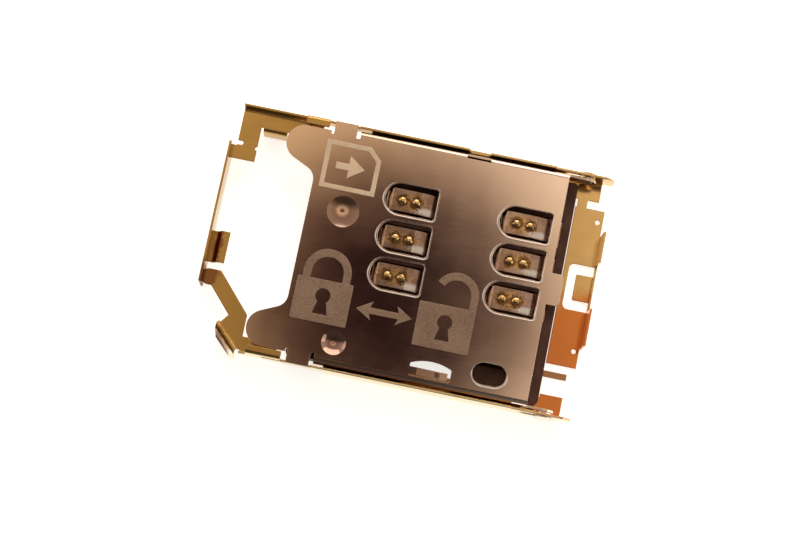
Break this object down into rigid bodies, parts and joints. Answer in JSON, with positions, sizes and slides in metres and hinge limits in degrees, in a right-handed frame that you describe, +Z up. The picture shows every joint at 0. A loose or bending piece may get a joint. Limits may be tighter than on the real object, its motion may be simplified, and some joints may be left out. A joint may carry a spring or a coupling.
{
  "type": "sim card connector",
  "caption": "Low card holder for a circuit board: folded frame with spring contacts under a windowed metal lid that slides to unlock and swings up.",
  "frame": {"origin": "on the board, under the middle of the holder's box", "axes": "+X along the card towards the hinge, +Y across the card, +Z up from the board"},
  "size_m": [0.0254, 0.0166, 0.0026],
  "materials": {
    "frame_sheet": "gold-flashed spring sheet, satin",
    "housing_plastic": "moulded, matt",
    "contact_gold": "nickel with gold-plated tip",
    "switch_copper": "bare spring bronze",
    "pin_steel": "turned and polished",
    "lid_steel": "rolled stainless sheet with etched signs"
  },
  "bodies": {
    "base": {"base_frame": "frame_sheet", "contact_housing": "housing_plastic", "contact_supply": "contact_gold", "contact_reset": "contact_gold", "contact_clock": "contact_gold", "contact_ground": "contact_gold", "contact_program": "contact_gold", "contact_data": "contact_gold", "switch_spring": "switch_copper"},
    "pins": {"hinge_pin_far": "pin_steel", "hinge_pin_near": "pin_steel"},
    "lid": {"lid": "lid_steel"}
  },
  "joints": [
    {"name": "lid_slide", "type": "slide", "parent": "base", "child": "pins", "axis": [1, 0, 0], "range_m": [-0.0012, 0]},
    {"name": "lid_hinge", "type": "hinge", "parent": "pins", "child": "lid", "pos_m": [0.0109, 0, 0.00125], "axis": [0, 1, 0], "range_deg": [0, 105]}
  ]
}
